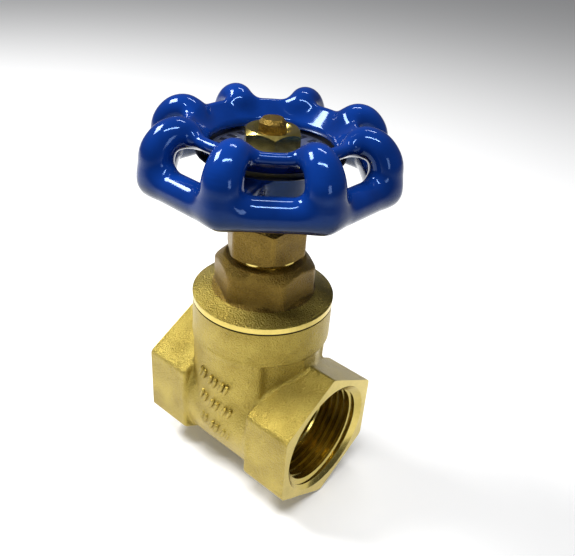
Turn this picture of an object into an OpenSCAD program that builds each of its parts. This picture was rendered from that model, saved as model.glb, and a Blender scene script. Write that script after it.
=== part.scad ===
// Screwed-bonnet gate valve with a non-rising stem, two threaded pipe ends and a looped handwheel.
// +Z runs up the stem and X runs along the pipe. The origin is where the two axes cross.
// The gate is drawn fully open. It travels down by gate_lift to close the port.

/* [Pipe ends] */
// End face to end face along the pipe
end_to_end = 46; // [42:1:56]
// Width across flats of the hexagon at each pipe end
end_hex_af = 31; // [30:0.5:35]
// Length of each end hexagon along the pipe
end_hex_len = 12.8; // [11:0.2:16]
// Outside diameter of the female pipe thread
thread_major_d = 26.44; // [25:0.02:27]
// Depth of the thread, from its minor to its outside diameter and halved
thread_depth = 1.162; // [0.9:0.001:1.3]
// Distance from one thread crest to the next
thread_pitch = 1.814; // [1.2:0.001:2.4]
// Number of full threads in each end
thread_turns = 5; // [4:1:5]
// Diameter of the waterway through the seats
port_d = 17.5; // [15:0.5:18]

/* [Body barrel] */
// Height of the gasket seat above the pipe axis
seat_height = 30; // [29:0.5:34]
// Diameter of the round collar below the bonnet
collar_d = 32.6; // [31:0.2:36]
// Height of the collar's lower edge above the pipe axis
collar_low = 21; // [19.5:0.5:22]
// Diameter of the side walls below the collar
neck_d = 31.2; // [30:0.2:32]
// Width of the raised front and back panels
panel_w = 22; // [18:0.5:24]
// Diameter of the round drum around the pipe axis
drum_d = 30.6; // [29:0.2:32]

/* [Gate] */
// Diameter of the gate's sealing disc
gate_d = 20.8; // [19.6:0.2:21.4]
// How far the gate rises from shut to open
gate_lift = 19.2; // [17:0.1:19.6]
// Thickness of the gate on its own centre line
gate_t = 10.6; // [10:0.2:11.6]
// Slope of each seat face
gate_taper = 5; // [3:0.5:7]
// Gap between the gate and the walls around it
gate_gap = 0.12; // [0.08:0.01:0.3]

/* [Bonnet] */
// Diameter of the bonnet flange
flange_d = 32.7; // [31:0.1:36]
// Height of the flange's machined edge
flange_edge = 1.4; // [1:0.1:2]
// Outside diameter of the screwed spigot
spigot_d = 27.1; // [26.6:0.1:27.3]
// Length of the screwed spigot below the gasket seat
spigot_len = 7; // [5:0.5:8]
// Width across flats of the bonnet hexagon
bonnet_hex_af = 20.8; // [19:0.2:24]
// Height of the bonnet hexagon's top above the gasket seat
bonnet_top = 11; // [10:0.5:13]
// Turn of the bonnet hexagon about the stem axis
bonnet_turn = 32; // [0:1:59]
// Outside diameter of the threaded neck inside the packing nut
neck_thread_d = 13.8; // [13:0.1:14.2]
// Diameter of the stuffing box
box_d = 11.2; // [10.6:0.1:11.6]

/* [Packing] */
// Thickness of the thrust washer on the stem collar
washer_t = 0.75; // [0.5:0.05:1]
// Number of packing rings
packing_count = 3; // [3]
// Thickness of one packing ring
packing_t = 1.5; // [1.2:0.1:1.7]
// Width across flats of the packing nut
packing_nut_af = 16.35; // [16:0.05:18]
// Height of the packing nut
packing_nut_h = 8.6; // [8:0.1:10]
// Thickness of the packing nut's top
packing_nut_top = 1.5; // [1.2:0.1:2]
// Turn of the packing nut about the stem axis
packing_nut_turn = 22; // [0:1:59]

/* [Stem] */
// Diameter of the stem where it passes the packing
stem_d = 7; // [6.6:0.1:7.2]
// Diameter of the stem's screw inside the gate
screw_d = 7.6; // [7.4:0.1:7.7]
// Rise of the gate for one turn of the stem
screw_lead = 3.2; // [2.8:0.1:3.6]
// Radial gap between the stem's thrust collar and the stuffing box
collar_gap = 0.3; // [0.2:0.05:0.5]
// Height of the thrust collar
stem_collar_t = 1.5; // [1.2:0.1:2]
// Diameter of the threaded tip
tip_d = 5.7; // [5:0.1:6.2]
// Radial gap between the turning stem and what it turns in
stem_gap = 0.05; // [0.03:0.01:0.09]

/* [Handwheel] */
// Height of the name plate's underside above the pipe axis
plate_height = 65.2; // [64:0.2:72]
// Number of loops round the handwheel
loops = 8; // [6:1:8]
// Radius from the stem axis to the lower rim's corners
rim_r = 24.3; // [22.5:0.3:30]
// Thickness of the lower rim
rim_d = 6.7; // [6:0.1:7.4]
// Radius from the stem axis to the upper edge of the sloping ring
ring_r = 17; // [16.5:0.25:19]
// Width of the sloping ring, from edge to edge
ring_w = 6.4; // [5.6:0.2:6.8]
// Thickness of the sloping ring
ring_t = 2.6; // [2.2:0.1:3]
// Slope of the ring, down towards the stem
ring_slope = 36; // [30:1:42]
// Height of the ring's upper edge above the plate
ring_rise = 4.8; // [4.4:0.1:6]
// Thickness of one loop
loop_d = 6.8; // [5.8:0.2:7]
// Radius of the bend over the top of a loop
loop_bend = 4.3; // [4:0.1:5]
// Height of the bend's centre above the plate
loop_rise = 1.2; // [0.8:0.1:2]
// Depth of the lower rim's middle below the plate
rim_drop = 3.6; // [3:0.1:4.5]
// Diameter of the hub
hub_d = 17; // [13:0.5:18]
// Height of the hub
hub_h = 8; // [7:0.5:9]
// Number of spokes between the hub and the lower rim
spokes = 2; // [2:2:4]
// Thickness of one spoke
spoke_d = 5.4; // [4:0.2:5.8]
// Turn of the handwheel about the stem axis
wheel_turn = 21; // [0:1:44]

/* [Plate and nut] */
// Diameter of the round name plate
plate_d = 31.2; // [26:0.2:32]
// Thickness of the name plate
plate_t = 0.5; // [0.4:0.1:0.8]
// Width across flats of the handwheel nut
wheel_nut_af = 11; // [10:0.5:12]
// Height of the handwheel nut
wheel_nut_h = 4.6; // [4:0.1:5]
// Turn of the handwheel nut about the stem axis
wheel_nut_turn = 17; // [0:1:59]
// Height of the stem's tip above the nut
tip_rise = 2; // [1:0.1:3]

/* [Hidden] */
$fn = 96;

brass_cast = [0.74, 0.68, 0.38];
brass_machined = [0.85, 0.77, 0.45];
blue_coat = [0.08, 0.25, 0.68];
gasket_grey = [0.2, 0.2, 0.19];
packing_white = [0.85, 0.84, 0.8];
plate_grey = [0.72, 0.73, 0.75];

eps = 0.01;
slack = 0.15;               // room between two pieces that screw together
gasket_t = 0.3;
spigot_wall = 1.35;         // wall of the bonnet's spigot
end_x = end_to_end / 2;
crest_r = thread_major_d / 2 - thread_depth;
root_r = thread_major_d / 2;
mouth_chamfer = 0.9;
mouth_flare = 0.75;         // how far the chamfer opens past the thread's outside
thread_runout = 0.6;
thread_len = mouth_chamfer + thread_turns * thread_pitch + thread_runout;

drum_half = end_x - end_hex_len + eps * 10;
flange_z = seat_height + gasket_t;
flange_top_z = flange_z + flange_edge;
flange_slope = 2.4;         // rise of the flange's top from its edge to the hexagon
bonnet_chamfer = 1.8;
chamber_r = spigot_d / 2 - spigot_wall;
chamber_low = gate_d / 2 + 3.4;
screw_bore_r = spigot_d / 2 + slack;
screw_bore_z = seat_height - spigot_len - 0.6;

bonnet_top_z = seat_height + bonnet_top;
bell_r = bonnet_hex_af / 2 - 2.1;
bell_top = seat_height + 4.6;
boss_top = gate_d / 2 + 4.2;
shoulder_z = bell_top + 2.6;
journal_r = screw_d / 2 + 0.1;
neck_top_z = bonnet_top_z + 7;

collar_z = shoulder_z + 0.05;
stem_collar_d = box_d - 2 * collar_gap;
washer_z = collar_z + stem_collar_t + 0.05;
packing_z = washer_z + washer_t;
gland_z = packing_z + packing_count * packing_t;
packing_nut_z = bonnet_top_z + 0.8;
packing_nut_top_z = packing_nut_z + packing_nut_h;
gland_top_z = packing_nut_top_z - packing_nut_top;

stem_low_z = gate_lift - gate_d / 2 + 1.2;
nut_z = plate_height + plate_t;
nut_top_z = nut_z + wheel_nut_h;
tip_z = nut_top_z + tip_rise;
hub_z = plate_height - hub_h;
gate_face = gate_t / 2;
taper = tan(gate_taper);
boss_low = gate_d / 4;
boss_r = gate_face + boss_low * taper;
square_w = tip_d + 0.1;     // the wheel slides over the threaded tip onto this square
square_gap = 0.05;
sweep = 142;                // how far the loop's bend turns, from the rim over to the ring
corner_extra = 0.9;         // extra thickness where a loop meets the lower rim
spoke_drop = 0.3;           // the spokes run this much below the rim's middle

// A hexagonal bar along Z with a corner at turn degrees
module hex_bar(af, h, turn = 0) {
    rotate([0, 0, turn]) cylinder(r = af / sqrt(3), h = h, $fn = 6);
}

// A flat ring along Z
module ring(outer, inner, z, h) {
    translate([0, 0, z])
        difference() {
            cylinder(r = outer, h = h);
            translate([0, 0, -1]) cylinder(r = inner, h = h + 2);
        }
}

// Space taken out of one pipe end, with the thread drawn at its minor diameter
module pipe_thread_space() {
    mouth_r = root_r + mouth_flare;
    cone_end = thread_len + crest_r - port_d / 2;
    rotate_extrude()
        polygon([[0, -1], [mouth_r + 1, -1], [mouth_r, 0], [crest_r, mouth_chamfer],
                 [crest_r, thread_len], [port_d / 2, cone_end], [0, cone_end]]);
}

// Wedge-shaped slab whose faces lean out with height, centred on z = 0 and grown by extra
module wedge_slab(low, high, width, extra) {
    half_low = gate_face + extra + low * taper;
    half_high = gate_face + extra + high * taper;
    rotate([90, 0, 0])
        translate([0, 0, -width / 2])
            linear_extrude(width)
                polygon([[-half_low, low], [half_low, low], [half_high, high], [-half_high, high]]);
}

module body_outside() {
    panel_high = collar_low + 1.5;
    proud = 0.1;            // how far the panels and flats stand out of the wall under them
    for (side = [0, 180])
        rotate([0, 0, side])
            translate([end_x - end_hex_len, 0, 0])
                rotate([0, 90, 0]) hex_bar(end_hex_af, end_hex_len);
    translate([-drum_half, 0, 0]) rotate([0, 90, 0]) cylinder(d = drum_d, h = 2 * drum_half);
    cylinder(d = neck_d, h = collar_low + 1);
    translate([0, 0, collar_low]) cylinder(d = collar_d, h = seat_height - collar_low);
    // hexagon flats run in under the collar to the side walls
    intersection() {
        translate([-end_x + 1, 0, 0]) rotate([0, 90, 0]) hex_bar(end_hex_af - 2 * eps, 2 * end_x - 2);
        cylinder(d = neck_d + 4 * proud, h = end_hex_af);
    }
    intersection() {
        translate([0, 0, -1]) cylinder(d1 = drum_d + 2 * proud, d2 = collar_d, h = panel_high);
        translate([-panel_w / 2, -collar_d, -1]) cube([panel_w, 2 * collar_d, panel_high]);
    }
}

module gate_chamber() {
    room = 0.4;             // gap round the edge of the gate
    // slot for the wedge, rounded round the port
    intersection() {
        wedge_slab(-gate_d, chamber_low + 1, gate_d * 2, gate_gap);
        union() {
            rotate([0, 90, 0]) cylinder(r = gate_d / 2 + room, h = gate_d, center = true);
            translate([-gate_d / 2, -gate_d / 2 - room, 0])
                cube([gate_d, gate_d + 2 * room, chamber_low + 1]);
        }
    }
    translate([0, 0, chamber_low]) cylinder(r = chamber_r, h = seat_height);
}

// Cast body with its two threaded ends
module body() {
    color(brass_cast)
        difference() {
            body_outside();
            translate([-end_x, 0, 0]) rotate([0, 90, 0]) cylinder(d = port_d, h = end_to_end);
            translate([end_x, 0, 0]) rotate([0, -90, 0]) pipe_thread_space();
            translate([-end_x, 0, 0]) rotate([0, 90, 0]) pipe_thread_space();
            gate_chamber();
            translate([0, 0, screw_bore_z]) cylinder(r = screw_bore_r, h = spigot_len * 2);
        }
}

// Thin gasket squeezed between the body and the bonnet flange
module bonnet_gasket() {
    color(gasket_grey) ring(collar_d / 2 - 0.25, screw_bore_r, seat_height, gasket_t);
}

// Cast bonnet: screwed spigot, flange, spanner hexagon and stuffing box
module bonnet() {
    turned_r = bonnet_hex_af / sqrt(3) - 0.25;
    lid_r = turned_r - 2.75;
    chamfer_z = bonnet_top_z - bonnet_chamfer;
    spigot_z = seat_height - spigot_len;
    color(brass_cast)
        difference() {
            union() {
                translate([0, 0, spigot_z]) cylinder(d = spigot_d, h = spigot_len + 1);
                translate([0, 0, flange_z]) cylinder(d = flange_d, h = flange_edge);
                translate([0, 0, flange_top_z - eps])
                    cylinder(d1 = flange_d - 0.6, d2 = bonnet_hex_af - 1, h = flange_slope);
                intersection() {
                    translate([0, 0, flange_z])
                        hex_bar(bonnet_hex_af, bonnet_top_z - flange_z, bonnet_turn);
                    union() {
                        translate([0, 0, flange_z])
                            cylinder(r = turned_r, h = chamfer_z - flange_z);
                        translate([0, 0, chamfer_z - eps])
                            cylinder(r1 = turned_r, r2 = lid_r, h = bonnet_chamfer + eps);
                    }
                }
                translate([0, 0, bonnet_top_z - 1])
                    cylinder(d = neck_thread_d, h = neck_top_z - bonnet_top_z + 1);
            }
            translate([0, 0, spigot_z - 1]) cylinder(r = chamber_r, h = spigot_len + 2);
            translate([0, 0, seat_height - 1]) cylinder(r = bell_r, h = bell_top - seat_height + 1);
            translate([0, 0, bell_top - 1]) cylinder(r = journal_r + stem_gap, h = 10);
            translate([0, 0, shoulder_z]) cylinder(d = box_d, h = neck_top_z);
        }
}

// Wedge gate: sealing disc between two leaning faces, with a boss that holds the stem's screw
module gate() {
    drain_r = 1.2;
    floor_t = 0.9;
    screw_room = 0.1;
    color(brass_machined)
        translate([0, 0, gate_lift])
            difference() {
                union() {
                    intersection() {
                        wedge_slab(-gate_d, gate_d, gate_d * 2, 0);
                        rotate([0, 90, 0]) cylinder(d = gate_d, h = gate_d * 2, center = true);
                    }
                    translate([0, 0, boss_low]) cylinder(r = boss_r, h = boss_top - boss_low);
                }
                translate([0, 0, floor_t - gate_d / 2]) cylinder(d = screw_d + 2 * screw_room, h = 2 * gate_d);
                translate([0, 0, -gate_d]) cylinder(r = drain_r, h = gate_d);
            }
}

// Turned stem: screw, thrust collar, packing journal, square drive and threaded tip
module stem() {
    pitch = screw_lead / 2;
    ridge_w = 1.1;
    flank = 0.25;           // slope on each side of a ridge
    lead_in = 0.5;          // chamfer at the screw's lower end
    plain_tip = 0.8;        // plain length below the first ridge, and the tip's chamfer
    tip_chamfer = 0.7;
    rings = floor((bell_top - stem_low_z - 4) / pitch);
    screw_r = screw_d / 2;
    root = screw_r - 0.75;
    ridges = [for (i = [0 : rings - 1])
        let (z0 = stem_low_z + plain_tip + i * pitch, z1 = z0 + ridge_w)
        each [[root, z0], [screw_r, z0 + flank], [screw_r, z1 - flank], [root, z1]]];
    thread_top = stem_low_z + plain_tip + rings * pitch;
    color(brass_machined) {
        rotate_extrude()
            polygon(concat([[0, stem_low_z], [root - lead_in, stem_low_z], [root, stem_low_z + lead_in]],
                           ridges,
                           [[root, thread_top], [journal_r, thread_top + plain_tip],
                            [journal_r, collar_z], [stem_collar_d / 2, collar_z],
                            [stem_collar_d / 2, collar_z + stem_collar_t],
                            [stem_d / 2, collar_z + stem_collar_t],
                            [stem_d / 2, hub_z], [0, hub_z]]));
        intersection() {
            translate([-square_w / 2, -square_w / 2, hub_z - 1]) cube([square_w, square_w, hub_h + 0.4]);
            translate([0, 0, hub_z - 1]) cylinder(d = stem_d, h = hub_h + 1);
        }
        translate([0, 0, hub_z]) cylinder(d = tip_d, h = tip_z - hub_z - plain_tip);
        translate([0, 0, tip_z - plain_tip - eps])
            cylinder(d1 = tip_d, d2 = tip_d - 2 * tip_chamfer, h = plain_tip + eps);
    }
}

module thrust_washer() {
    color(brass_machined) ring(box_d / 2 - 0.05, stem_d / 2 + stem_gap, washer_z, washer_t);
}

module packing_ring(index) {
    color(packing_white)
        ring(box_d / 2 - 0.01, stem_d / 2 + stem_gap, packing_z + index * packing_t, packing_t);
}

module packing_ring_1() { packing_ring(0); }
module packing_ring_2() { packing_ring(1); }
module packing_ring_3() { packing_ring(2); }

// Follower that the packing nut pushes down on the packing
module gland() {
    color(brass_machined)
        ring(box_d / 2 - 0.1, stem_d / 2 + stem_gap, gland_z, gland_top_z - gland_z);
}

// Cap nut that screws over the bonnet's neck
module packing_nut() {
    past_corner = packing_nut_af / sqrt(3) + 0.3;
    flat_r = packing_nut_af / 2;
    chamfer_low = 1.2;
    chamfer_top = 1;
    face_in = 0.4;          // the top face stops this far inside the flats
    color(brass_cast)
        difference() {
            intersection() {
                translate([0, 0, packing_nut_z]) hex_bar(packing_nut_af, packing_nut_h, packing_nut_turn);
                union() {
                    translate([0, 0, packing_nut_z])
                        cylinder(r1 = flat_r, r2 = past_corner, h = chamfer_low + eps);
                    translate([0, 0, packing_nut_z + chamfer_low])
                        cylinder(r = past_corner, h = packing_nut_h - chamfer_low - chamfer_top);
                    translate([0, 0, packing_nut_top_z - chamfer_top - eps])
                        cylinder(r1 = past_corner, r2 = flat_r - face_in, h = chamfer_top + eps);
                }
            }
            translate([0, 0, packing_nut_z - 1])
                cylinder(r = neck_thread_d / 2 + 0.1, h = gland_top_z - packing_nut_z + 1);
            translate([0, 0, packing_nut_z])
                cylinder(r = stem_d / 2 + 2 * stem_gap - eps, h = packing_nut_h + 1);
        }
}

// One loop of the handwheel: from the ring, round the bend and down to the lower rim
module wheel_loop() {
    bend_x = rim_r - loop_bend;
    bend_z = plate_height + loop_rise;
    rim_z = plate_height - rim_drop;
    corner_d = rim_d + corner_extra;
    translate([bend_x, 0, bend_z])
        rotate([90, 0, 0])
            rotate_extrude(angle = sweep)
                translate([loop_bend, 0]) circle(d = loop_d);
    translate([rim_r, 0, rim_z]) cylinder(d = loop_d, h = bend_z - rim_z);
    translate([rim_r, 0, rim_z]) sphere(d = corner_d);
}

// Sloping ring that the loops grow from, its section a bar with round edges
module wheel_ring() {
    flat_w = ring_w - ring_t;
    translate([0, 0, plate_height + ring_rise])
        rotate_extrude()
            translate([ring_r, 0])
                rotate(ring_slope) {
                    translate([-flat_w, -ring_t / 2]) square([flat_w, ring_t]);
                    circle(d = ring_t);
                    translate([-flat_w, 0]) circle(d = ring_t);
                }
}

// Dip-coated handwheel: hub, spokes, lower rim, loops and ring
module handwheel() {
    rim_z = plate_height - rim_drop;
    side = 2 * rim_r * sin(180 / loops);
    hole_w = square_w + 2 * square_gap;
    color(blue_coat)
        difference() {
            union() {
                translate([0, 0, hub_z]) cylinder(d = hub_d, h = hub_h);
                for (i = [0 : loops - 1])
                    rotate([0, 0, wheel_turn + i * 360 / loops]) {
                        wheel_loop();
                        translate([rim_r, 0, rim_z])
                            rotate([0, 0, 90 + 180 / loops])
                                rotate([0, 90, 0]) cylinder(d = rim_d, h = side);
                    }
                for (i = [0 : spokes - 1])
                    rotate([0, 0, wheel_turn + 90 + i * 360 / spokes])
                        translate([0, 0, rim_z - spoke_drop])
                            rotate([0, 90, 0]) cylinder(d = spoke_d, h = rim_r - 1);
                wheel_ring();
            }
            translate([-hole_w / 2, -hole_w / 2, hub_z - 1]) cube([hole_w, hole_w, hub_h + 2]);
        }
}

// Printed round plate that the handwheel nut clamps on the hub
module name_plate() {
    color(plate_grey) ring(plate_d / 2, tip_d / 2 + 0.05, plate_height, plate_t);
}

// Nut that holds the handwheel on the square
module handwheel_nut() {
    past_corner = wheel_nut_af / sqrt(3) + 0.2;
    chamfer = 0.9;
    face_in = 0.3;          // the top face stops this far inside the flats
    countersink = 1.35;
    color(brass_machined)
        difference() {
            intersection() {
                translate([0, 0, nut_z]) hex_bar(wheel_nut_af, wheel_nut_h, wheel_nut_turn);
                union() {
                    translate([0, 0, nut_z]) cylinder(r = past_corner, h = wheel_nut_h - chamfer);
                    translate([0, 0, nut_top_z - chamfer - eps])
                        cylinder(r1 = past_corner, r2 = wheel_nut_af / 2 - face_in, h = chamfer + eps);
                }
            }
            translate([0, 0, nut_z - 1]) cylinder(r = tip_d / 2 + 0.02, h = wheel_nut_h + 2);
            translate([0, 0, nut_top_z - 1])
                cylinder(r1 = tip_d / 2, r2 = tip_d / 2 + countersink, h = 1 + eps);
        }
}

body();
bonnet_gasket();
bonnet();
gate();
stem();
thrust_washer();
packing_ring_1();
packing_ring_2();
packing_ring_3();
gland();
packing_nut();
handwheel();
name_plate();
handwheel_nut();
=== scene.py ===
import math

import bmesh
import bpy
import numpy as np
from mathutils import Matrix, Vector


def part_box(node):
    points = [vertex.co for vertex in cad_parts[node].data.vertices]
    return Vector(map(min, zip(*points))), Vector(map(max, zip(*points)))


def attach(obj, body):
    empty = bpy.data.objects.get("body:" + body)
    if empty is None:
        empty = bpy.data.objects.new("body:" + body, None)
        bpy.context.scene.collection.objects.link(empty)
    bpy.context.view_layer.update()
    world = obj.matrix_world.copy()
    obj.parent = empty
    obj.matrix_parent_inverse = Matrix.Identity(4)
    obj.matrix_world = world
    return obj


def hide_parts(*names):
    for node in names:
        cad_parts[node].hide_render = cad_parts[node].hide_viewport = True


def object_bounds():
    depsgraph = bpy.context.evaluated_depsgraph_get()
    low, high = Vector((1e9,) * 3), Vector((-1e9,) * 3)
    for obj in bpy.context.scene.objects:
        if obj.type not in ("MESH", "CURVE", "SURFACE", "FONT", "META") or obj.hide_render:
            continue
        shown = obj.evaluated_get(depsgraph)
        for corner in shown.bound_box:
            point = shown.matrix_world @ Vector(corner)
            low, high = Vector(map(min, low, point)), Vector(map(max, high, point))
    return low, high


# Looks of a small brass gate valve with a dip-coated handwheel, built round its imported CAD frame.
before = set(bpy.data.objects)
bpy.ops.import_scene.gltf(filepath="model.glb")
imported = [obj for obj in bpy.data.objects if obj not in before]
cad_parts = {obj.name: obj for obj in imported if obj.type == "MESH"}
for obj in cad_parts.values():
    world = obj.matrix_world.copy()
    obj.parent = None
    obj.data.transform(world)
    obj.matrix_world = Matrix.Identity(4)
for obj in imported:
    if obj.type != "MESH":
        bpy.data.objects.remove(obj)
cad_low, cad_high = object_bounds()


# ---------------------------------------------------------------------------------------------
# Table top: a plain pale sheet under the valve, a close camera looking down on its right front
# corner, and four soft boxes over the bench.
# ---------------------------------------------------------------------------------------------
def look_at_valve(azimuth, elevation, roll, distance, aim, lens):
    """Camera round the valve: azimuth 0 looks along +Y, roll leans the picture to the left."""
    a, e, r = (math.radians(v) for v in (azimuth, elevation, roll))
    back = Vector((math.sin(a) * math.cos(e), -math.cos(a) * math.cos(e), math.sin(e)))
    right = Vector((math.cos(a), math.sin(a), 0.0))
    up = back.cross(right)
    leaning_right = right * math.cos(r) + up * math.sin(r)
    leaning_up = up * math.cos(r) - right * math.sin(r)
    turn = Matrix((leaning_right, leaning_up, back)).transposed()
    data = bpy.data.cameras.new("bench_camera")
    data.lens = lens
    data.clip_start = 0.005
    camera = bpy.data.objects.new("bench_camera", data)
    camera.matrix_world = Matrix.Translation(aim + back * distance) @ turn.to_4x4()
    bpy.context.scene.collection.objects.link(camera)
    bpy.context.scene.camera = camera


look_at_valve(azimuth=38.7, elevation=31.25, roll=4.63, distance=0.1437,
              aim=Vector((0.00696, 0, 0.03774)), lens=40.45)


def soft_box(name, where, aim, width, height, power):
    """A rectangular lamp at one place, turned to face another."""
    data = bpy.data.lights.new(name, "AREA")
    data.shape = "RECTANGLE"
    data.size = width
    data.size_y = height
    data.energy = power
    lamp = bpy.data.objects.new(name, data)
    lamp.location = where
    lamp.rotation_euler = (Vector(aim) - Vector(where)).to_track_quat("-Z", "Y").to_euler()
    bpy.context.scene.collection.objects.link(lamp)


soft_box("strip_over_camera", (0.105, -0.125, 0.50), (0, 0, 0.06), 0.34, 0.04, 1.9)
soft_box("box_left", (-0.32, -0.14, 0.42), (0, 0, 0.03), 0.20, 0.14, 2.9)
soft_box("box_right", (0.42, -0.16, 0.16), (0, 0, 0.01), 0.10, 0.16, 0.25)
soft_box("strip_behind", (-0.10, 0.20, 0.46), (0, 0, 0.07), 0.20, 0.03, 0.4)

world = bpy.data.worlds.new("bench_air")
world.use_nodes = True
air = world.node_tree.nodes["Background"]
air.inputs["Color"].default_value = (0.93, 0.95, 1.0, 1)
air.inputs["Strength"].default_value = 0.10
bpy.context.scene.world = world
bpy.context.scene.view_settings.view_transform = "Standard"

floor_half = 3
floor_gap = 0.0002
floor_corners = [(sx * floor_half, sy * floor_half, 0) for sx, sy in ((-1, -1), (1, -1), (1, 1), (-1, 1))]
floor_mesh = bpy.data.meshes.new("table_top")
floor_mesh.from_pydata(floor_corners, [], [(0, 1, 2, 3)])
floor = bpy.data.objects.new("table_top", floor_mesh)
floor.location.z = cad_low.z - floor_gap
bpy.context.scene.collection.objects.link(floor)
paper = bpy.data.materials.new("white_paper")
paper.use_nodes = True
paper_shader = paper.node_tree.nodes["Principled BSDF"]
paper_shader.inputs["Base Color"].default_value = (0.95, 0.95, 0.95, 1)
paper_shader.inputs["Roughness"].default_value = 0.9
paper_shader.inputs["Emission Color"].default_value = (1, 1, 1, 1)
paper_shader.inputs["Emission Strength"].default_value = 0.1
floor_mesh.materials.append(paper)
floor.visible_diffuse = False


# ---------------------------------------------------------------------------------------------
# Body: a hot-pressed brass casting. Two hexagonal pipe ends, a round drum round the waterway and
# a barrel up to the bonnet, all run into each other with small cast fillets. The end faces, the
# pipe threads, the seats and the bonnet thread are then cut on a lathe.
# ---------------------------------------------------------------------------------------------
MM = 0.001


def blend_in(a, b, fillet):
    """Two shapes as one, with a fillet of about that size where they meet. Distances in mm."""
    h = np.maximum(fillet - np.abs(a - b), 0) / fillet
    return np.minimum(a, b) - h * h * fillet / 4


def keep_both(a, b, round_off):
    """What two shapes share, with its edge rounded off."""
    return -blend_in(-a, -b, round_off)


def casting(name, shape, low, high, step):
    """Skin of a cast piece: surface nets over shape(x, y, z), a distance in mm, pulled onto it."""
    counts = [int(math.ceil((high[i] - low[i]) / step)) + 1 for i in range(3)]
    x, y, z = np.meshgrid(*[low[i] + step * np.arange(counts[i], dtype=np.float32) for i in range(3)],
                          indexing="ij", sparse=True)
    depth = np.broadcast_to(shape(x, y, z), counts).astype(np.float32)
    cells = tuple(c - 1 for c in counts)
    total = np.zeros(cells + (3,), np.float32)
    hits = np.zeros(cells, np.float32)
    crossings = []
    for axis in range(3):
        first = np.moveaxis(depth, axis, 0)[:-1]
        second = np.moveaxis(depth, axis, 0)[1:]
        crossed = (first < 0) != (second < 0)
        share = np.where(crossed, first / np.where(crossed, first - second, 1), 0)
        crossings.append((crossed, first < 0))
        sides = [a for a in range(3) if a != axis]
        for du in (0, 1):
            for dv in (0, 1):
                part = (slice(None), slice(du, cells[sides[0]] + du), slice(dv, cells[sides[1]] + dv))
                c = np.moveaxis(crossed[part], 0, axis)
                hits += c
                total[..., axis] += np.moveaxis(share[part], 0, axis)
                total[..., sides[0]] += c * du
                total[..., sides[1]] += c * dv
    filled = hits > 0
    number = np.full(cells, -1, np.int64)
    number[filled] = np.arange(filled.sum())
    points = (np.argwhere(filled) + total[filled] / hits[filled][:, None]) * step + np.array(low)
    probe = 0.02
    flattest = 0.2
    furthest = 0.3 * step
    for _ in range(3):
        gap = shape(*points.T)
        slope = np.stack([shape(*(points + probe * way).T) - gap for way in np.eye(3)], 1) / probe
        move = -gap[:, None] * slope / np.maximum((slope ** 2).sum(1, keepdims=True), flattest)
        points = points + np.clip(move, -furthest, furthest)
    quads = []
    for axis in range(3):
        crossed, solid_first = crossings[axis]
        inner = (slice(None), slice(1, -1), slice(1, -1))
        i, u, v = np.nonzero(crossed[inner])
        flip = solid_first[inner][i, u, v]
        ring = []
        for du, dv in ((0, 0), (1, 0), (1, 1), (0, 1)):
            place = [None, None, None]
            sides = [a for a in range(3) if a != axis]
            place[axis], place[sides[0]], place[sides[1]] = i, u + du, v + dv
            ring.append(number[tuple(place)])
        ring = np.stack(ring, 1)
        if axis == 1:
            flip = ~flip
        ring[~flip] = ring[~flip][:, ::-1]
        quads.append(ring)
    quads = np.concatenate(quads)
    mesh = bpy.data.meshes.new(name)
    mesh.from_pydata((points * MM).tolist(), [], quads.tolist())
    piece = bpy.data.objects.new(name, mesh)
    bpy.context.scene.collection.objects.link(piece)
    return piece


def turned(name, outline, segments=128):
    """A lathe piece round Z from (radius, height) points in mm, closed along the axis."""
    mesh = bmesh.new()
    rows = []
    for radius, height in outline:
        if radius == 0:
            rows.append([mesh.verts.new((0, 0, height * MM))] * segments)
        else:
            rows.append([mesh.verts.new((radius * math.cos(2 * math.pi * i / segments) * MM,
                                         radius * math.sin(2 * math.pi * i / segments) * MM,
                                         height * MM)) for i in range(segments)])
    for lower, upper in zip(rows, rows[1:] + rows[:1]):
        for i in range(segments):
            j = (i + 1) % segments
            corners = list(dict.fromkeys((lower[i], lower[j], upper[j], upper[i])))
            if len(corners) > 2:
                mesh.faces.new(corners)
    bmesh.ops.recalc_face_normals(mesh, faces=mesh.faces)
    data = bpy.data.meshes.new(name)
    mesh.to_mesh(data)
    mesh.free()
    piece = bpy.data.objects.new(name, data)
    bpy.context.scene.collection.objects.link(piece)
    return piece


def bar(name, radius, low, high, segments=128):
    """A plain round bar along Z."""
    return turned(name, [(0, low), (radius, low), (radius, high), (0, high)], segments)


def machine(piece, tool, operation="DIFFERENCE"):
    """Cuts, joins or trims a piece with a tool shape, and puts the tool away."""
    cut = piece.modifiers.new("cut", "BOOLEAN")
    cut.operation = operation
    cut.solver = "MANIFOLD"
    cut.object = tool
    bpy.context.view_layer.update()
    cut_mesh = bpy.data.meshes.new_from_object(piece.evaluated_get(bpy.context.evaluated_depsgraph_get()))
    piece.modifiers.remove(cut)
    old = piece.data
    piece.data = cut_mesh
    bpy.data.meshes.remove(old)
    bpy.data.objects.remove(tool)


def finish_edges(piece, angle=32):
    """Smooth shading, with edges sharper than the angle kept crisp."""
    mesh = bmesh.new()
    mesh.from_mesh(piece.data)
    bmesh.ops.remove_doubles(mesh, verts=mesh.verts, dist=0.002 * MM)
    bmesh.ops.dissolve_degenerate(mesh, edges=mesh.edges, dist=0.001 * MM)
    for face in mesh.faces:
        face.smooth = True
    for edge in mesh.edges:
        edge.smooth = len(edge.link_faces) == 2 and edge.calc_face_angle(0) < math.radians(angle)
    mesh.to_mesh(piece.data)
    mesh.free()


end_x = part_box("body")[1].x / MM
end_flat = 15.5
end_inner = 10.2
seat_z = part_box("body")[1].z / MM
collar_low = 21.0
collar_r = 16.3
neck_r = 15.6
neck_flat = 14.5
drum_r = 15.3
panel_half = 11.0
panel_foot = 2.0
panel_proud = 0.1
panel_inset = 0.15
flat_x = 0.87
flat_y = 0.49
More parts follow.
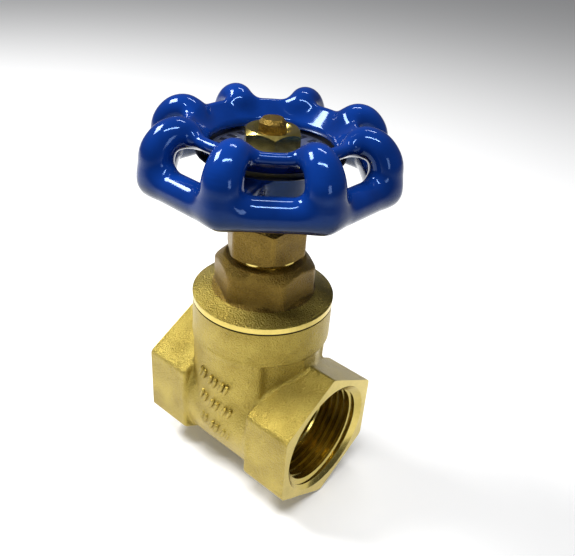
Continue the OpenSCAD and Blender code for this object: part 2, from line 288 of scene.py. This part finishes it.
# metal that is cut off again, or that runs on into the next shape
spare = 1.0


def hex_across(u, v, flat, round_off):
    """Distance to a long hexagonal bar with two of its flats facing along u."""
    a = np.abs(u)
    b = np.abs(0.5 * u + math.sqrt(0.75) * v)
    c = np.abs(0.5 * u - math.sqrt(0.75) * v)
    return keep_both(keep_both(a, b, round_off), c, round_off) - flat


def panel_radius(z):
    """Radius of the front and back panels, which lean out from the drum to the collar."""
    climb = np.clip((z + panel_foot) / (collar_low + panel_foot), 0, 1)
    return drum_r + panel_proud + climb * (collar_r - drum_r - panel_inset)


def body_shape(x, y, z):
    """The casting before it is machined: both ends, the drum and the barrel, run together."""
    upright = np.hypot(x, y)
    past_end = np.abs(x) - end_x - spare
    hexagon = hex_across(y, z, end_flat, round_off=0.8)
    ends = keep_both(hexagon, np.maximum(end_inner - np.abs(x), past_end), round_off=0.9)
    drum = keep_both(np.hypot(y, z) - drum_r, np.abs(x) - end_inner - spare, round_off=0.5)
    under = np.hypot(y, np.minimum(z, 0)) - drum_r
    flats = flat_x * np.abs(x) + flat_y * np.abs(y) - neck_flat
    column = np.maximum(np.maximum(upright - neck_r, flats), z - collar_low - 2 * spare)
    neck = keep_both(column, under, round_off=1.5)
    panel_ends = np.maximum(z - collar_low - spare, -panel_foot - spare - z)
    panel = keep_both(np.maximum(upright - panel_radius(z), panel_ends), np.abs(x) - panel_half,
                      round_off=0.5)
    collar = keep_both(upright - collar_r, np.maximum(collar_low - z, z - seat_z - spare), round_off=0.9)
    barrel = blend_in(blend_in(neck, panel, fillet=0.4), collar, fillet=0.5)
    return blend_in(blend_in(ends, drum, fillet=1.0), barrel, fillet=0.9)


grid_room = 1.6
grid_half = 19
body = casting("body_casting", body_shape, (-end_x - grid_room, -grid_half, -grid_half),
               (end_x + grid_room, grid_half, seat_z + grid_room), step=0.36)
clear_r = 60
faced = bar("facing_cut", clear_r, -end_x, end_x, 64)
faced.rotation_euler.y = math.pi / 2
machine(body, faced, "INTERSECT")
machine(body, bar("seat_cut", clear_r / 2, seat_z, seat_z + 5, 64))

# the barrel's inside: gate chamber, bonnet thread as a plain bore, and its chamfered mouth
chamber_low = 13.8
chamber_r = 12.2
screw_low = 22.4
screw_r = 13.7
mouth = 0.3
over = 0.1
machine(body, turned("chamber_cut", [
    (0, chamber_low), (chamber_r, chamber_low), (chamber_r, screw_low), (screw_r, screw_low),
    (screw_r, seat_z - mouth), (screw_r + mouth + over, seat_z + over),
    (screw_r + mouth + over, seat_z + spare), (0, seat_z + spare)]))

# the wedge-shaped slot that the gate slides in, between its two seats
gate_room = 0.4
gate_play = 0.15
gate_half = 5.3
gate_lean = math.tan(math.radians(5))
slot_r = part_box("gate")[1].y / MM + gate_room
slot_half = gate_half + gate_play
slot_reach = 9
wedge_low = -slot_r - spare
wedge_high = chamber_low + spare / 2


def slab(name, low, high, half_low, half_high, width):
    """A straight slab across the pipe whose two faces lean out with height."""
    corners = [(sx * half * MM, sy * width * MM, z * MM)
               for z, half in ((low, half_low), (high, half_high))
               for sx, sy in ((-1, -1), (1, -1), (1, 1), (-1, 1))]
    sides = [(i, (i + 1) % 4, (i + 1) % 4 + 4, i + 4) for i in range(4)]
    data = bpy.data.meshes.new(name)
    data.from_pydata(corners, [], [(3, 2, 1, 0), (4, 5, 6, 7)] + sides)
    piece = bpy.data.objects.new(name, data)
    bpy.context.scene.collection.objects.link(piece)
    return piece


gate_slot = bar("gate_slot", slot_r, -slot_reach, slot_reach)
gate_slot.rotation_euler.y = math.pi / 2
machine(gate_slot, slab("slot_walls", 0, chamber_low + spare, slot_reach, slot_reach, slot_r), "UNION")
machine(gate_slot, slab("slot_wedge", wedge_low, wedge_high, slot_half + wedge_low * gate_lean,
                        slot_half + wedge_high * gate_lean, slot_r + 2 * spare), "INTERSECT")
machine(body, gate_slot)
port_r = 8.75
port = bar("port_cut", port_r, -end_x - spare, end_x + spare)
port.rotation_euler.y = math.pi / 2
machine(body, port)

thread_root = 13.22
thread_crest = 12.06
thread_pitch = 1.814
thread_len = 10.6


def thread_tap(name, side):
    """Tap for one pipe end: tapping drill, chamfered mouth and a helical thread form."""
    mouth_r = thread_root + 0.75
    drill_end = end_x - thread_len
    drill = turned(name, [
        (0, end_x + 1), (mouth_r + 1, end_x + 1), (mouth_r, end_x), (thread_root + 0.1, end_x - 0.6),
        (thread_crest, end_x - 1.5), (thread_crest, drill_end - 1),
        (port_r, drill_end - 2.8), (0, drill_end - 2.8)], 160)
    mesh = bmesh.new()
    per_turn = 96
    lead_in = 0.6
    run_out = 0.6 * per_turn
    sunk = 0.25
    base_r = thread_crest - 0.3
    base_half = 0.98 * thread_pitch / 2
    tip_half = 0.13
    steps = int(per_turn * (thread_len + 1) / thread_pitch)
    rings = []
    for i in range(steps + 1):
        angle = 2 * math.pi * i / per_turn
        centre = end_x + lead_in - thread_pitch * i / per_turn
        fade = min(1.0, (steps - i) / run_out)
        root = thread_crest - sunk + (thread_root - thread_crest + sunk) * fade
        form = ((base_r, -base_half), (root, -tip_half), (root, tip_half), (base_r, base_half))
        rings.append([mesh.verts.new((r * math.cos(angle) * MM, r * math.sin(angle) * MM, (centre + dz) * MM))
                      for r, dz in form])
    for a, b in zip(rings, rings[1:]):
        for k in range(4):
            mesh.faces.new((a[k], a[(k + 1) % 4], b[(k + 1) % 4], b[k]))
    mesh.faces.new(rings[0][::-1])
    mesh.faces.new(rings[-1])
    bmesh.ops.recalc_face_normals(mesh, faces=mesh.faces)
    data = bpy.data.meshes.new("thread_form")
    mesh.to_mesh(data)
    mesh.free()
    form = bpy.data.objects.new("thread_form", data)
    bpy.context.scene.collection.objects.link(form)
    machine(drill, form, "UNION")
    drill.rotation_euler.y = side * math.pi / 2
    return drill


machine(body, thread_tap("right_tap", 1))
machine(body, thread_tap("left_tap", -1))
finish_edges(body)


def brass(name, dark, light, rough, grain_size, grain_depth, pits):
    """Bare brass: mottled colour, uneven polish and a fine cast or turned grain."""
    mat = bpy.data.materials.new(name)
    mat.use_nodes = True
    nodes, links = mat.node_tree.nodes, mat.node_tree.links
    shader = nodes["Principled BSDF"]
    shader.inputs["Metallic"].default_value = 1.0
    place = nodes.new("ShaderNodeTexCoord")
    patches = nodes.new("ShaderNodeTexNoise")
    patches.inputs["Scale"].default_value = 160
    patches.inputs["Detail"].default_value = 6
    specks = nodes.new("ShaderNodeTexNoise")
    specks.inputs["Scale"].default_value = grain_size
    specks.inputs["Detail"].default_value = 3
    for texture in (patches, specks):
        links.new(place.outputs["Object"], texture.inputs["Vector"])
    mixed = nodes.new("ShaderNodeMath")
    mixed.operation = "MULTIPLY_ADD"
    mixed.inputs[1].default_value = 0.45
    links.new(specks.outputs["Fac"], mixed.inputs[0])
    spread = nodes.new("ShaderNodeMath")
    spread.operation = "MULTIPLY"
    spread.inputs[1].default_value = 0.6
    links.new(patches.outputs["Fac"], spread.inputs[0])
    links.new(spread.outputs[0], mixed.inputs[2])
    ramp = nodes.new("ShaderNodeValToRGB")
    ramp.color_ramp.elements[0].position = 0.36
    ramp.color_ramp.elements[0].color = (*dark, 1)
    ramp.color_ramp.elements[1].position = 0.68
    ramp.color_ramp.elements[1].color = (*light, 1)
    links.new(mixed.outputs[0], ramp.inputs["Fac"])
    links.new(ramp.outputs["Color"], shader.inputs["Base Color"])
    polish = nodes.new("ShaderNodeMapRange")
    polish.inputs["To Min"].default_value = rough - 0.08
    polish.inputs["To Max"].default_value = rough + 0.12
    links.new(mixed.outputs[0], polish.inputs["Value"])
    links.new(polish.outputs["Result"], shader.inputs["Roughness"])
    pocks = nodes.new("ShaderNodeTexVoronoi")
    pocks.inputs["Scale"].default_value = 420
    links.new(place.outputs["Object"], pocks.inputs["Vector"])
    holes = nodes.new("ShaderNodeMapRange")
    holes.inputs["From Min"].default_value = 0.0
    holes.inputs["From Max"].default_value = 0.16
    holes.inputs["To Min"].default_value = -pits
    holes.inputs["To Max"].default_value = 0.0
    links.new(pocks.outputs["Distance"], holes.inputs["Value"])
    height = nodes.new("ShaderNodeMath")
    height.operation = "ADD"
    links.new(specks.outputs["Fac"], height.inputs[0])
    links.new(holes.outputs["Result"], height.inputs[1])
    grain = nodes.new("ShaderNodeBump")
    grain.inputs["Strength"].default_value = 1.0
    grain.inputs["Distance"].default_value = grain_depth
    links.new(height.outputs[0], grain.inputs["Height"])
    links.new(grain.outputs["Normal"], shader.inputs["Normal"])
    return mat


cast_brass = brass("cast_brass", (0.30, 0.22, 0.042), (0.49, 0.38, 0.088), rough=0.33,
                   grain_size=2800, grain_depth=0.00034, pits=0.5)
machined_brass = brass("machined_brass", (0.56, 0.44, 0.115), (0.68, 0.54, 0.16), rough=0.20,
                       grain_size=900, grain_depth=0.000006, pits=0.0)
body.data.materials.clear()
body.data.materials.append(cast_brass)
body.data.materials.append(machined_brass)
bore_start = 11.5
bore_room = 0.8
facing_on = 0.95
for face in body.data.polygons:
    middle = face.center / MM
    turned_end = abs(middle.x) > end_x - 0.02
    turned_seat = middle.z > seat_z - 0.01
    near_thread = math.hypot(middle.y, middle.z) < thread_root + bore_room and abs(middle.x) > bore_start
    in_bore = near_thread and abs(face.normal.x) < facing_on
    face.material_index = 1 if turned_end or turned_seat or in_bore else 0
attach(body, "valve_body")
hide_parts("body")

# raised slanted strokes cast on the front panel in three rows: across and height of each
strokes = [(-3.9, 14.0), (-2.7, 13.8), (-0.6, 13.4), (0.8, 13.1), (2.8, 12.8), (4.0, 12.5),
           (-4.0, 6.9), (-2.6, 6.6), (-0.2, 6.3), (1.2, 6.0), (3.4, 5.7), (4.7, 5.4),
           (-4.0, -0.2), (-2.7, -0.5), (-0.4, -0.9), (1.1, -1.2), (3.2, -1.5), (4.6, -1.8)]
stroke_half = 1.05
stroke_lean = 0.4
stroke_r = 0.56
stroke_lift = 0.2


def strokes_shape(x, y, z):
    """Distance to the nearest stroke, a short round bar whose middle lies just off the panel."""
    nearest = None
    lean_x = math.sin(stroke_lean)
    lean_z = math.cos(stroke_lean)
    for across, height in strokes:
        along = np.clip((x - across) * lean_x + (z - height) * lean_z, -stroke_half, stroke_half)
        panel_y = -math.sqrt(panel_radius(height) ** 2 - across ** 2)
        aside = (x - across - along * lean_x) ** 2 + (z - height - along * lean_z) ** 2
        gap = np.sqrt(aside + (y - panel_y + stroke_lift) ** 2) - stroke_r
        nearest = gap if nearest is None else np.minimum(nearest, gap)
    return nearest


cast_marks = casting("cast_marks", strokes_shape, (-6.2, -17.2, -4.4), (6.8, -13.4, 16.2), step=0.16)
finish_edges(cast_marks)
cast_marks.data.materials.append(cast_brass)
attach(cast_marks, "valve_body")


# ---------------------------------------------------------------------------------------------
# Bonnet and gasket: a brass pressing screwed into the barrel on a thin dark fibre gasket. Its
# flange has a turned edge and a cast, gently sloping top, and its spanner hexagon has soft corners.
# ---------------------------------------------------------------------------------------------
flange_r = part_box("bonnet")[1].x / MM
flange_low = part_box("bonnet_gasket")[1].z / MM
flange_edge_top = flange_low + 1.4
flange_rise = 1.9
flange_run = 6.0
bonnet_flat = 10.4
bonnet_top = seat_z + 11
bonnet_turn = math.radians(32)
lid_r = 9.2
lid_run = 2.2
lid_fall = 1.6
bonnet_neck_r = 6.9
neck_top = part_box("bonnet")[1].z / MM


def spun(x, y, angle):
    """The same point seen from axes turned by an angle about the stem."""
    return x * math.cos(angle) + y * math.sin(angle), y * math.cos(angle) - x * math.sin(angle)


def bonnet_shape(x, y, z):
    """The bonnet before it is machined: sloping flange and spanner hexagon, as solid metal."""
    out = np.hypot(x, y)
    slope = z - (flange_edge_top + np.clip((flange_r - out) / flange_run, 0, 1.2) * flange_rise)
    below = flange_low - spare - z
    flange = np.maximum(keep_both(out - flange_r - 1.5 * spare, slope, round_off=0.4), below)
    u, v = spun(x, y, bonnet_turn)
    sides = hex_across(v, u, bonnet_flat, round_off=1.3)
    lid = z - bonnet_top + np.clip((out - lid_r) / lid_run, 0, 2) * lid_fall
    block = np.maximum(keep_both(sides, lid, round_off=0.45), below)
    return blend_in(flange, block, fillet=0.6)


bonnet = casting("bonnet_casting", bonnet_shape, (-grid_half, -grid_half, flange_low - grid_room),
                 (grid_half, grid_half, bonnet_top + 1), step=0.3)
edge_break = 0.15
machine(bonnet, turned("flange_turning", [
    (0, flange_low), (flange_r - edge_break, flange_low), (flange_r, flange_low + edge_break),
    (flange_r, flange_edge_top + 4), (flange_r, bonnet_top + 3), (0, bonnet_top + 3)], 192), "INTERSECT")
spigot_low = seat_z - 7
spigot_r = 13.55
machine(bonnet, turned("neck_and_spigot", [
    (0, spigot_low), (spigot_r - 0.55, spigot_low), (spigot_r, spigot_low + 0.5),
    (spigot_r, flange_low + 0.3), (bonnet_neck_r, flange_low + 0.3),
    (bonnet_neck_r, neck_top - 0.5), (bonnet_neck_r - 0.5, neck_top), (0, neck_top)]), "UNION")
box_r = 5.6
box_floor = seat_z + 7.2
stem_hole_r = 3.95
collar_room_r = 8.3
collar_room_top = seat_z + 4.6
machine(bonnet, turned("bonnet_bore", [
    (0, spigot_low - spare), (chamber_r, spigot_low - spare), (chamber_r, seat_z),
    (collar_room_r, seat_z + 1), (collar_room_r, collar_room_top), (stem_hole_r, collar_room_top),
    (stem_hole_r, box_floor), (box_r, box_floor), (box_r, neck_top + spare), (0, neck_top + spare)]))
finish_edges(bonnet)
# Darker brass with painted shade: its colour stands in for the handwheel's shadow over the bonnet's hexagon,
# the packing nut and the stem.
brass_painted_shade = brass("brass_painted_shade", (0.13, 0.08, 0.015), (0.29, 0.19, 0.042), rough=0.33,
                    grain_size=2800, grain_depth=0.00034, pits=0.5)
bonnet.data.materials.clear()
bonnet.data.materials.append(cast_brass)
bonnet.data.materials.append(machined_brass)
bonnet.data.materials.append(brass_painted_shade)
# Faces within this radius, the hexagon under the wheel, take the brass with painted shade; the flange's outer
# slope keeps the plain cast brass.
painted_shade_reach = 12
for face in bonnet.data.polygons:
    middle = face.center / MM
    out = math.hypot(middle.x, middle.y)
    on_edge = out > flange_r - 0.2 and abs(face.normal.z) < 0.9
    below = middle.z < flange_low + 0.02
    on_neck = out < bonnet_neck_r + 0.1 and middle.z > bonnet_top - 1
    face.material_index = 1 if on_edge or below or on_neck else 2 if out < painted_shade_reach else 0
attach(bonnet, "valve_body")
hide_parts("bonnet")


def fibrous(name, dark, light, rough, scale):
    """Matt pressed or plaited fibre with a fine speckle."""
    mat = bpy.data.materials.new(name)
    mat.use_nodes = True
    nodes, links = mat.node_tree.nodes, mat.node_tree.links
    shader = nodes["Principled BSDF"]
    shader.inputs["Roughness"].default_value = rough
    speckle = nodes.new("ShaderNodeTexNoise")
    speckle.inputs["Scale"].default_value = scale
    ramp = nodes.new("ShaderNodeValToRGB")
    ramp.color_ramp.elements[0].color = (*dark, 1)
    ramp.color_ramp.elements[1].color = (*light, 1)
    links.new(speckle.outputs["Fac"], ramp.inputs["Fac"])
    links.new(ramp.outputs["Color"], shader.inputs["Base Color"])
    return mat


def give(node_name, mat):
    """Puts a finish on a CAD piece that keeps its own shape."""
    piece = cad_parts[node_name]
    piece.data.materials.clear()
    piece.data.materials.append(mat)


give("bonnet_gasket", fibrous("gasket_fibre", (0.012, 0.010, 0.008), (0.06, 0.045, 0.03), 0.85, 1500))


# ---------------------------------------------------------------------------------------------
# Packing nut: a cast brass cap nut over the bonnet's neck, turned at both ends so the hexagon's
# corners run out in curved points. Inside are the follower, three packing rings and a washer.
# ---------------------------------------------------------------------------------------------
nut_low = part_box("packing_nut")[0].z / MM
nut_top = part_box("packing_nut")[1].z / MM
nut_flat = 8.175
nut_corner = nut_flat * 2 / math.sqrt(3)
nut_turn = math.radians(22)
nut_grid = 10.4


def packing_nut_shape(x, y, z):
    """The nut's hexagonal bar, a little long at both ends."""
    u, v = spun(x, y, nut_turn)
    ends = np.maximum(nut_low - spare - z, z - nut_top - spare)
    return np.maximum(hex_across(v, u, nut_flat, round_off=0.7), ends)


packing_nut = casting("packing_nut_casting", packing_nut_shape, (-nut_grid, -nut_grid, nut_low - 1.5),
                      (nut_grid, nut_grid, nut_top + 1.5), step=0.28)
past_corner = nut_corner + 0.3
face_r = nut_flat - 0.025
face_step = 0.45
machine(packing_nut, turned("nut_turning", [
    (0, nut_low), (face_r, nut_low), (face_r + 0.1, nut_low + face_step - 0.1),
    (face_r + 0.15, nut_low + face_step), (past_corner, nut_low + 1.6), (past_corner, nut_top - 0.95),
    (nut_flat - 0.5, nut_top), (0, nut_top)], 192), "INTERSECT")
thread_r = 7.0
lid_under = nut_top - 1.5
stem_way_r = 3.59
machine(packing_nut, turned("nut_bore", [
    (0, nut_low - spare), (thread_r, nut_low - spare), (thread_r, lid_under), (stem_way_r, lid_under),
    (stem_way_r, nut_top - 0.3), (3.9, nut_top + 0.1), (3.9, nut_top + spare), (0, nut_top + spare)]))
finish_edges(packing_nut)
packing_nut.data.materials.clear()
# The nut's flats take the brass with painted shade, darkened for the handwheel's shadow over them.
packing_nut.data.materials.append(brass_painted_shade)
packing_nut.data.materials.append(machined_brass)
for face in packing_nut.data.polygons:
    middle = face.center / MM
    out = math.hypot(middle.x, middle.y)
    turned_end = middle.z < nut_low + face_step + 0.01 or middle.z > nut_top - 0.05
    face.material_index = 1 if turned_end or out < thread_r + 0.1 else 0
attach(packing_nut, "valve_body")
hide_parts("packing_nut")

packing = fibrous("packing_braid", (0.72, 0.70, 0.64), (0.86, 0.85, 0.80), 0.7, 1200)
for ring_name in ("packing_ring_1", "packing_ring_2", "packing_ring_3"):
    give(ring_name, packing)
give("thrust_washer", machined_brass)
give("gland", machined_brass)


# ---------------------------------------------------------------------------------------------
# Stem and gate: the turned brass stem stays at one height and its screw draws the wedge up into
# the barrel.
# ---------------------------------------------------------------------------------------------
# The stem takes the same brass with painted shade, which also dims the highlight on its tip.
give("stem", brass_painted_shade)
give("gate", machined_brass)


# ---------------------------------------------------------------------------------------------
# Handwheel: one iron casting dipped in thick glossy blue plastic, which rounds every corner. An
# eight-sided lower rim and a smaller ring above it are joined by eight fat loops.
# ---------------------------------------------------------------------------------------------
plate_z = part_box("name_plate")[0].z / MM
wheel_turn = math.radians(21)
rim_z = plate_z - 3.6
rim_corner = 24.3
rim_half = 3.3
ring_top = (17.0, plate_z + 4.8)
ring_low = (14.0, plate_z + 2.15)
ring_half = 1.25
hub_low = plate_z - 8.0
hub_r = 8.5
spoke_r = 2.7
spoke_drop = 0.3
spoke_end = rim_corner - 3
loop_count = 8
# a loop from the ring to the rim: how far out and how high it runs, then its half depth and half width
loop_line = [(16.6, 4.7, 1.4, 2.2), (17.9, 5.3, 2.6, 3.0), (19.6, 5.5, 3.1, 3.3), (21.5, 5.0, 3.15, 3.5),
             (23.0, 3.7, 3.2, 3.7), (23.9, 1.8, 3.4, 3.9), (24.2, -0.6, 3.35, 4.0), (24.2, -2.6, 3.1, 3.8)]


def eased(points, pieces):
    """Points along a smooth curve through the given ones (Catmull-Rom)."""
    p = [np.array(q, float) for q in points]
    p = [2 * p[0] - p[1]] + p + [2 * p[-1] - p[-2]]
    line = []
    for a, b, c, d in zip(p, p[1:], p[2:], p[3:]):
        bend = 2 * a - 5 * b + 4 * c - d
        twist = 3 * b - a - 3 * c + d
        for t in np.arange(pieces) / pieces:
            line.append(b + (c - a) * t / 2 + bend * t ** 2 / 2 + twist * t ** 3 / 2)
    return line + [p[-2]]


loop_curve = eased(loop_line, 4)


def loop_shape(u, v, z):
    """Distance to one loop: u is out from the stem, v is sideways from the loop's own plane."""
    nearest = None
    for (u0, z0, deep0, wide0), (u1, z1, deep1, wide1) in zip(loop_curve, loop_curve[1:]):
        du, dz = u1 - u0, z1 - z0
        t = np.clip(((u - u0) * du + (z - plate_z - z0) * dz) / (du * du + dz * dz), 0, 1)
        deep, wide = deep0 + (deep1 - deep0) * t, wide0 + (wide1 - wide0) * t
        off = (u - u0 - t * du) ** 2 + (z - plate_z - z0 - t * dz) ** 2
        gap = (np.sqrt(off / deep ** 2 + (v / wide) ** 2) - 1) * np.minimum(deep, wide)
        nearest = gap if nearest is None else np.minimum(nearest, gap)
    return nearest


def wheel_shape(x, y, z):
    """Rim, loops, ring, spokes and hub, run together as the thick coating does."""
    out = np.hypot(x, y)
    share = 2 * math.pi / loop_count
    angle = np.arctan2(y, x) - wheel_turn
    angle = angle - share * np.round(angle / share)
    u = out * np.cos(angle)
    v = np.abs(out * np.sin(angle))
    loop = loop_shape(u, v, z)
    side_x = -math.sin(share / 2)
    side_y = math.cos(share / 2)
    slide = np.maximum((u - rim_corner) * side_x + v * side_y, 0)
    off_rim = (u - rim_corner - slide * side_x) ** 2 + (v - slide * side_y) ** 2 + (z - rim_z) ** 2
    rim = np.sqrt(off_rim) - rim_half
    lean_u = ring_top[0] - ring_low[0]
    lean_z = ring_top[1] - ring_low[1]
    up_ring = (out - ring_low[0]) * lean_u + (z - ring_low[1]) * lean_z
    climb = np.clip(up_ring / (lean_u ** 2 + lean_z ** 2), 0, 1)
    ring = np.hypot(out - ring_low[0] - climb * lean_u, z - ring_low[1] - climb * lean_z) - ring_half
    wheel = blend_in(blend_in(rim, loop, fillet=2.2), ring, fillet=2.0)
    along, aside = spun(x, y, wheel_turn + math.pi / 2)
    past_spoke = np.maximum(np.abs(along) - spoke_end, 0)
    spoke = np.sqrt(aside ** 2 + past_spoke ** 2 + (z - rim_z + spoke_drop) ** 2) - spoke_r
    hub = keep_both(out - hub_r, np.maximum(hub_low - z, z - plate_z), round_off=0.8)
    return blend_in(wheel, blend_in(hub, spoke, fillet=2.0), fillet=1.5)


wheel_grid = 28.6
wheel = casting("handwheel_dipped", wheel_shape, (-wheel_grid, -wheel_grid, hub_low - 0.8),
                (wheel_grid, wheel_grid, ring_top[1] + 5.2), step=0.33)
square_half = 2.95
bpy.ops.mesh.primitive_cube_add(size=2 * square_half * MM, location=(0, 0, 0))
broach = bpy.context.object
broach.scale.z = 12
broach.location.z = plate_z * MM
machine(wheel, broach)
finish_edges(wheel, 40)

blue = bpy.data.materials.new("blue_dip_coat")
blue.use_nodes = True
blue_nodes, blue_links = blue.node_tree.nodes, blue.node_tree.links
blue_shader = blue_nodes["Principled BSDF"]
blue_shader.inputs["Roughness"].default_value = 0.1
blue_shader.inputs["IOR"].default_value = 1.45
blue_shader.inputs["Specular Tint"].default_value = (0.25, 0.5, 1.0, 1)
blue_shader.inputs["Coat Weight"].default_value = 0.12
blue_shader.inputs["Coat Roughness"].default_value = 0.04
blue_place = blue_nodes.new("ShaderNodeTexCoord")
blue_cloud = blue_nodes.new("ShaderNodeTexNoise")
blue_cloud.inputs["Scale"].default_value = 90
blue_cloud.inputs["Detail"].default_value = 4
blue_links.new(blue_place.outputs["Object"], blue_cloud.inputs["Vector"])
blue_ramp = blue_nodes.new("ShaderNodeValToRGB")
blue_ramp.color_ramp.elements[0].position = 0.3
blue_ramp.color_ramp.elements[0].color = (0.002, 0.020, 0.14, 1)
blue_ramp.color_ramp.elements[1].position = 0.7
blue_ramp.color_ramp.elements[1].color = (0.003, 0.036, 0.25, 1)
blue_links.new(blue_cloud.outputs["Fac"], blue_ramp.inputs["Fac"])
blue_links.new(blue_ramp.outputs["Color"], blue_shader.inputs["Base Color"])
blue_waves = blue_nodes.new("ShaderNodeTexNoise")
blue_waves.inputs["Scale"].default_value = 260
blue_waves.inputs["Detail"].default_value = 1
blue_links.new(blue_place.outputs["Object"], blue_waves.inputs["Vector"])
blue_bump = blue_nodes.new("ShaderNodeBump")
blue_bump.inputs["Strength"].default_value = 0.15
blue_bump.inputs["Distance"].default_value = 0.00012
blue_links.new(blue_waves.outputs["Fac"], blue_bump.inputs["Height"])
blue_links.new(blue_bump.outputs["Normal"], blue_shader.inputs["Normal"])
wheel.data.materials.clear()
wheel.data.materials.append(blue)
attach(wheel, "wheel_and_stem")
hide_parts("handwheel")


# ---------------------------------------------------------------------------------------------
# Name plate and nut: a thin printed aluminium disc on the hub, held by a turned brass nut that is
# countersunk round the stem's tip. The print is a ring of plain ticks; the dark band round the disc's edge,
# under the ring, is painted shade.
# ---------------------------------------------------------------------------------------------
plate_print_and_shade = bpy.data.materials.new("aluminium_print_and_shade")
plate_print_and_shade.use_nodes = True
plate_nodes, plate_links = plate_print_and_shade.node_tree.nodes, plate_print_and_shade.node_tree.links
plate_shader = plate_nodes["Principled BSDF"]
plate_shader.inputs["Roughness"].default_value = 0.3
plate_place = plate_nodes.new("ShaderNodeTexCoord")
plate_axes = plate_nodes.new("ShaderNodeSeparateXYZ")
plate_links.new(plate_place.outputs["Object"], plate_axes.inputs["Vector"])


def reckon(operation, *values):
    """One step of arithmetic in the pattern of print and painted shade."""
    step = plate_nodes.new("ShaderNodeMath")
    step.operation = operation
    for slot_index, value in enumerate(values):
        if isinstance(value, (int, float)):
            step.inputs[slot_index].default_value = value
        else:
            plate_links.new(value, step.inputs[slot_index])
    return step.outputs[0]


tick_inner = 9.7 * MM
tick_outer = 11.9 * MM
# from this radius out the disc is painted dark: painted shade where the ring overhangs it, not print
shade_rim_inner = 12.8 * MM
tick_count = 24.0
plate_x = plate_axes.outputs["X"]
plate_y = plate_axes.outputs["Y"]
squares = reckon("ADD", reckon("MULTIPLY", plate_x, plate_x), reckon("MULTIPLY", plate_y, plate_y))
plate_out = reckon("SQRT", squares)
plate_angle = reckon("ARCTAN2", plate_y, plate_x)
tick = reckon("GREATER_THAN", reckon("SINE", reckon("MULTIPLY", plate_angle, tick_count)), 0.1)
past_inner = reckon("GREATER_THAN", plate_out, tick_inner)
in_ticks = reckon("MULTIPLY", past_inner, reckon("LESS_THAN", plate_out, tick_outer))
# the dark band at the edge is painted shade under the ring; only the ticks are print
painted_shade_rim = reckon("GREATER_THAN", plate_out, shade_rim_inner)
ink_and_shade = reckon("MAXIMUM", painted_shade_rim, reckon("MULTIPLY", in_ticks, tick))
plate_mix = plate_nodes.new("ShaderNodeMix")
plate_mix.data_type = "RGBA"
plate_mix.inputs[6].default_value = (0.62, 0.64, 0.66, 1)
plate_mix.inputs[7].default_value = (0.010, 0.010, 0.012, 1)
plate_links.new(ink_and_shade, plate_mix.inputs["Factor"])
plate_links.new(plate_mix.outputs[2], plate_shader.inputs["Base Color"])
# print and painted shade are matt, the bare aluminium metallic
plate_links.new(reckon("SUBTRACT", 1.0, ink_and_shade), plate_shader.inputs["Metallic"])

plate_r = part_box("name_plate")[1].x / MM
plate_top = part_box("name_plate")[1].z / MM
plate_hole_r = 2.9
plate_break = 0.15
plate = turned("plate_disc", [
    (plate_hole_r, plate_z), (plate_r - 0.2, plate_z), (plate_r, plate_z + plate_break),
    (plate_r, plate_top - plate_break), (plate_r - 0.12, plate_top), (plate_hole_r, plate_top)], 160)
finish_edges(plate)
plate.data.materials.append(plate_print_and_shade)
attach(plate, "wheel_and_stem")
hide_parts("name_plate")

tip_nut_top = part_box("handwheel_nut")[1].z / MM
tip_nut_flat = 5.5
tip_nut_corner = tip_nut_flat * 2 / math.sqrt(3)
past_tip_corner = tip_nut_corner + 0.3
tip_hole_r = 2.87
sink_r = 4.2
tip_nut = bar("handwheel_nut_turned", tip_nut_corner, plate_top, tip_nut_top, 6)
tip_nut.rotation_euler.z = math.radians(17)
machine(tip_nut, turned("nut_envelope", [
    (0, plate_top), (tip_nut_corner - 0.3, plate_top), (past_tip_corner, plate_top + 0.4),
    (past_tip_corner, tip_nut_top - 1.0), (tip_nut_flat - 0.25, tip_nut_top), (0, tip_nut_top)],
    192), "INTERSECT")
machine(tip_nut, turned("nut_hole", [
    (0, plate_top - spare), (tip_hole_r, plate_top - spare), (tip_hole_r, tip_nut_top - 1.1),
    (sink_r, tip_nut_top + 0.05), (sink_r, tip_nut_top + spare), (0, tip_nut_top + spare)], 192))
finish_edges(tip_nut, 25)
tip_nut.data.materials.clear()
tip_nut.data.materials.append(machined_brass)
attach(tip_nut, "wheel_and_stem")
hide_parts("handwheel_nut")
